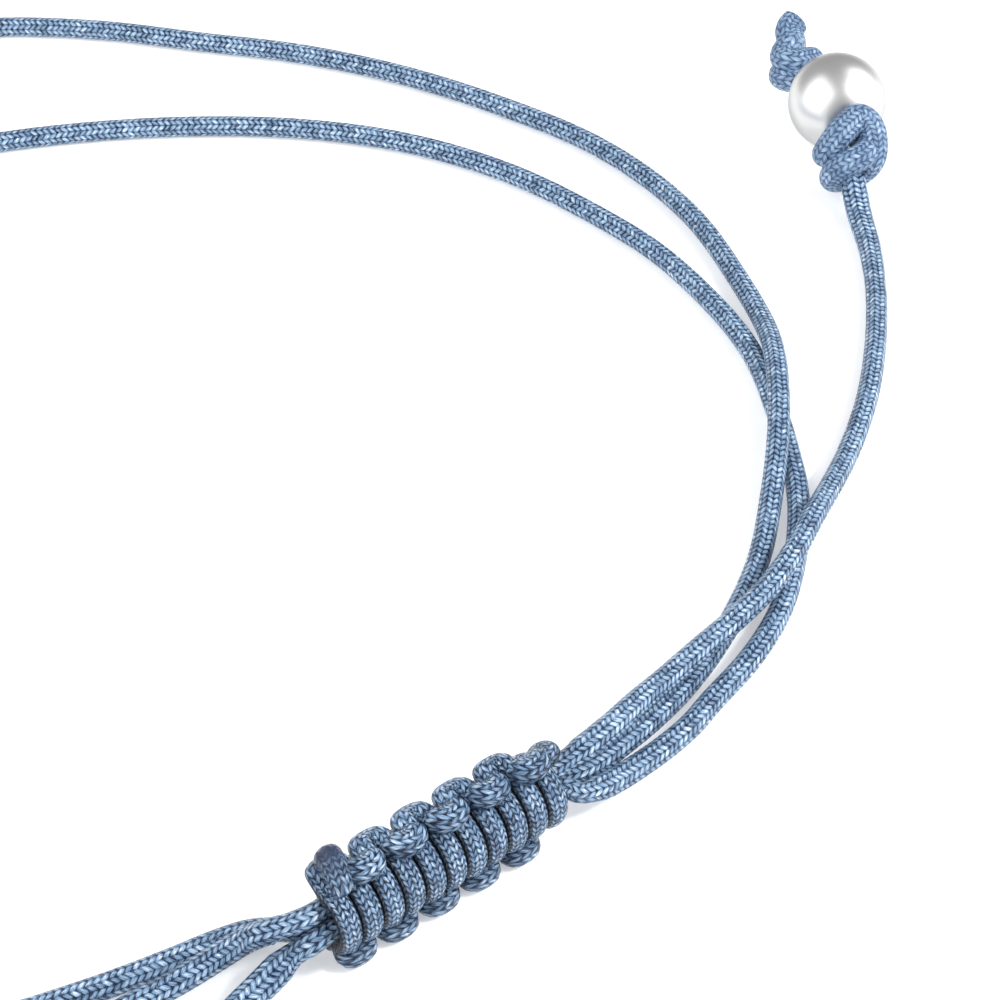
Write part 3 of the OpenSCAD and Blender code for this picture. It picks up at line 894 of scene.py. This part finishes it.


# %% [markdown]
# ## Colour and bump of the cord
# Waxed cord is blue-grey. On relief of a few hundredths of a millimetre, lamps alone don't make its
# crowns almost white and its grooves almost black, so the height also picks the colour from a ramp:
# painted shade in the grooves, painted light on the crowns and painted glints at the top. The same
# height, with the filaments added, goes into the bump.

# %% Braided cord finish
# How much the height, the filaments, the stitches' own tones and wide patches give to the tone, and
# how much of the first three goes into the bump. The height's share is painted light and shade, and
# the filaments' share is painted glints. A melted end is darker and shinier.
LIGHT_AND_SHADE_OF_HEIGHT, TONE_SHIFT = 0.75, -0.46
FILAMENT_GLINTS, TONE_OF_STITCH, TONE_OF_PATCH = 1.35, 0.42, 0.3
BUMP_OF_FILAMENTS, BUMP_OF_STITCH = 1.1, 0.3
PATCH_SCALE = 900.0
MIDDLE_AT, CROWN_AT = 0.4, 0.72
# The second colour and the share on this line are painted shade where cords press together.
MELTED_COLOUR, PAINTED_SHADE_COLOUR, PAINTED_SHADE_SHARE = from_screen(44, 58, 86), from_screen(4, 10, 28), 0.95
MELTED_SHINE, CORD_SPECULAR = -0.25, 0.32


def braid_material(name, groove_shade, middle, crown_light, painted_glint, rough, bump_mm):
    """Colour and bump of a tube braid from the U and V of its skin. The four colours are as a
    screen shows them: painted shade for the grooves, the faces, painted light for the tops of the
    stitches and painted glints of the filaments."""
    material, tree, shader = new_material(name)
    braid = braid_nodes(tree)
    thread, own_tone = filament_nodes(tree, braid), stitch_nodes(tree, braid)
    relief = calc(tree, "MULTIPLY_ADD", own_tone, BUMP_OF_STITCH, braid["height"])
    bump = tree.nodes.new("ShaderNodeBump")
    bump.inputs["Distance"].default_value = bump_mm * MM
    tree.links.new(calc(tree, "MULTIPLY_ADD", thread, BUMP_OF_FILAMENTS, relief), bump.inputs["Height"])
    tree.links.new(bump.outputs[0], shader.inputs["Normal"])
    patchy = calc(tree, "SUBTRACT", noise(tree, object_places(tree), PATCH_SCALE), 0.5)
    # Painted light and shade from the height of the yarn on top, then random tones and the filaments'
    # painted glints.
    tone = calc(tree, "MULTIPLY_ADD", braid["height"], LIGHT_AND_SHADE_OF_HEIGHT, TONE_SHIFT)
    tone = calc(tree, "MULTIPLY_ADD", own_tone, TONE_OF_STITCH, tone)
    tone = calc(tree, "MULTIPLY_ADD", thread, FILAMENT_GLINTS, tone)
    tone = calc(tree, "MULTIPLY_ADD", patchy, TONE_OF_PATCH, tone)
    # Painted shade in the seams and gaps between stitches.
    shade = calc(tree, "MULTIPLY", tone, seam_shade_nodes(tree, braid))
    # The ramp paints shade into the grooves, light onto the crowns and glints at its top.
    stops = zip((0.0, 1.0, MIDDLE_AT, CROWN_AT), (groove_shade, painted_glint, middle, crown_light))
    colour = ramp(tree, shade, [(place, from_screen(*screen)) for place, screen in stops])
    melted = stored(tree, "melted")
    colour = blended(tree, melted, colour, MELTED_COLOUR)
    # Painted shade where the skin presses on another cord.
    dark = calc(tree, "MULTIPLY", stored(tree, "painted_shade"), PAINTED_SHADE_SHARE)
    tree.links.new(blended(tree, dark, colour, PAINTED_SHADE_COLOUR), shader.inputs["Base Color"])
    shine = calc(tree, "MULTIPLY_ADD", melted, MELTED_SHINE, rough)
    tree.links.new(shine, shader.inputs["Roughness"])
    shader.inputs["Specular IOR Level"].default_value = CORD_SPECULAR
    return material


# %% The three braids
# The bracelet's cord, the tying cord, and the cord pulled tight in the stopper knots: each one's
# colours from the painted shade of the grooves to the painted glints, its roughness, and its bump in
# millimetres.
BRAIDS = {
    "waxed_braid": ((16, 32, 62), (116, 146, 179), (160, 188, 216), (240, 247, 255), 0.28, 0.08),
    "tight_tying_braid": ((6, 16, 42), (94, 124, 158), (150, 178, 208), (236, 245, 255), 0.25, 0.08),
    "pulled_tight_braid": (
        (52, 74, 108), (110, 137, 168), (138, 163, 192), (180, 200, 222), 0.42, 0.04),
}
braided, tying, pulled = (braid_material(name, *look) for name, look in BRAIDS.items())
for name, piece in cord_pieces.items():
    piece.data.materials.append(tying if "knot" in name else braided)
for piece in knot_pieces.values():
    piece.data.materials.append(pulled)
print("nodes in a braid's material:", len(braided.node_tree.nodes))

# %% [markdown]
# ## Polished metal
# The balls are polished silver or steel, which is all reflection: on white they show as pale grey
# with a soft dark rim. A mirror would draw the lamps as hard spots, so the metal is a little rough,
# and a fine haze of noise makes that uneven, as handling does.

# %% Polished metal
METAL_GREY, EDGE_GREY = 0.66, 0.7
HAZE_SCALE, HAZE_SPREAD, LEAST_ROUGH = 700.0, 0.08, 0.32
metal, tree, shader = new_material("polished_ball_metal")
shader.inputs["Base Color"].default_value = (METAL_GREY, METAL_GREY, METAL_GREY, 1)
shader.inputs["Metallic"].default_value = 1.0
shader.inputs["Specular Tint"].default_value = (EDGE_GREY, EDGE_GREY, EDGE_GREY, 1)
haze = noise(tree, object_places(tree), HAZE_SCALE)
tree.links.new(calc(tree, "MULTIPLY_ADD", haze, HAZE_SPREAD, LEAST_ROUGH), shader.inputs["Roughness"])
for ball in balls.values():
    ball.data.materials.append(metal)
print("materials:", [m.name for m in bpy.data.materials])

# %% [markdown]
# ## Table and light
# The picture is lit as a studio shot on white: a wide soft light on either side, a small bright lamp
# on the right for the glints, and a white surround that fills the shadows. The table itself glows a
# little, so that it shows as white as in the picture.

# %% Table
TABLE_REACH, TABLE_GLOW = 1.5, 0.38
floor_mesh = bpy.data.meshes.new("table_top")
corners = [(-1, -1), (1, -1), (1, 1), (-1, 1)]
floor_mesh.from_pydata([(x * TABLE_REACH, y * TABLE_REACH, 0) for x, y in corners], [], [(0, 1, 2, 3)])
floor = bpy.data.objects.new("table_top", floor_mesh)
bpy.context.scene.collection.objects.link(floor)
floor_material, tree, shader = new_material("pale_table")
shader.inputs["Emission Color"].default_value = (1, 1, 1, 1)
shader.inputs["Emission Strength"].default_value = TABLE_GLOW
shader.inputs["Base Color"].default_value = (0.8, 0.8, 0.8, 1)
shader.inputs["Roughness"].default_value = 0.9
floor_mesh.materials.append(floor_material)


# %% Lights
def soft_light(name, place, aim, size, power):
    """A square area light at a place, turned to its aim. Places and size are in millimetres."""
    data = bpy.data.lights.new(name, "AREA")
    data.size = size * MM
    data.energy = power
    light = bpy.data.objects.new(name, data)
    bpy.context.scene.collection.objects.link(light)
    light.location = Vector(place) * MM
    light.rotation_euler = (Vector(aim) * MM - light.location).to_track_quat("-Z", "Y").to_euler()
    return light


LIGHT_AIM = (22, 0, 0)
#                      place in mm       size  watts
LIGHTS = {
    "left_soft_box": ((-207, -89, 163), 400, 0.95),
    "right_soft_box": ((274, 13, 163), 400, 0.95),
    "small_bright_lamp": ((230, -60, 220), 40, 0.5),
}
for name, (place, size, power) in LIGHTS.items():
    light = soft_light(name, place, LIGHT_AIM, size, power)
    print(name, "is", round((light.location - EYE).length / MM), "mm from the camera")
SURROUND_STRENGTH = 0.5
world = bpy.data.worlds.new("white_surround")
world.use_nodes = True
background = world.node_tree.nodes["Background"]
background.inputs[0].default_value = (1, 1, 1, 1)
background.inputs[1].default_value = SURROUND_STRENGTH
bpy.context.scene.world = world
bpy.context.scene.view_settings.view_transform = "Standard"
